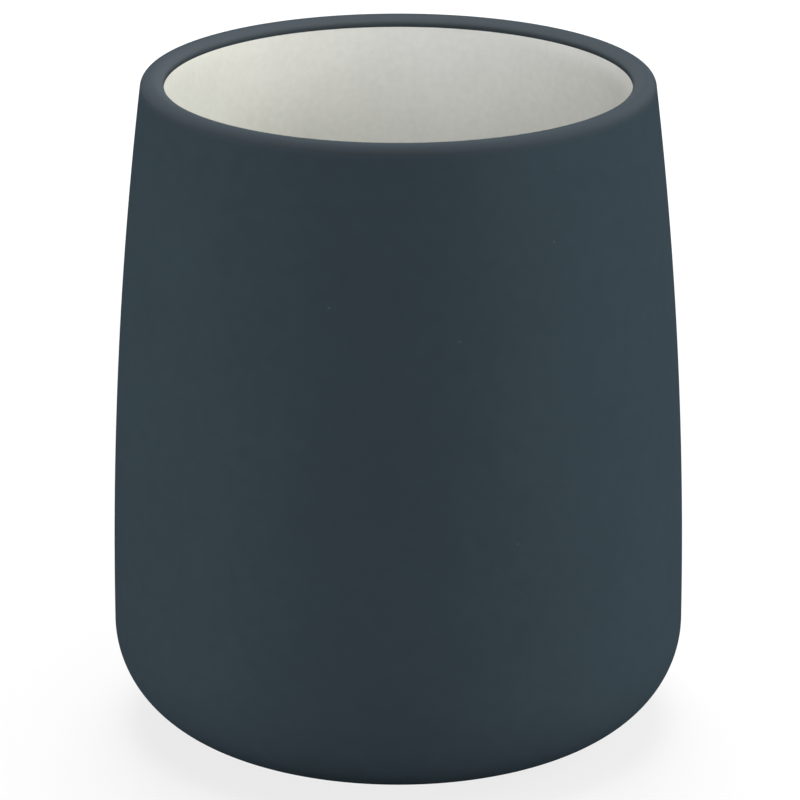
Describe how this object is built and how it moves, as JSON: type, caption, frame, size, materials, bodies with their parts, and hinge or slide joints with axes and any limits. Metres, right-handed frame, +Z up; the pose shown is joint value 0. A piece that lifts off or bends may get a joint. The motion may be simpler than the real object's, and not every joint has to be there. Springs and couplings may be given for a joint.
{
  "type": "pen holder",
  "caption": "Round barrel-shaped ceramic pen pot with a dark velvety lacquered outside, a pale glazed inside and a foam base pad.",
  "frame": {"origin": "centre of the base pad's underside, on the surface that the pot stands on", "axes": "+Z up along the pot's axis, out of its mouth; X and Y are any two square directions, since the pot is round"},
  "size_m": [0.09, 0.09, 0.1046],
  "materials": {
    "biscuit_ceramic": "unglazed, fine sandy matt",
    "soft_touch_lacquer": "velvety matt slate blue-grey",
    "white_glaze": "satin warm white",
    "adhesive_film": "clear film, hidden",
    "foam_rubber": "closed-cell foam, matt black"
  },
  "bodies": {
    "root": {"ceramic_body": "biscuit_ceramic", "soft_touch_coat": "soft_touch_lacquer", "inner_glaze": "white_glaze", "base_pad_adhesive": "adhesive_film", "base_pad": "foam_rubber"}
  },
  "joints": []
}
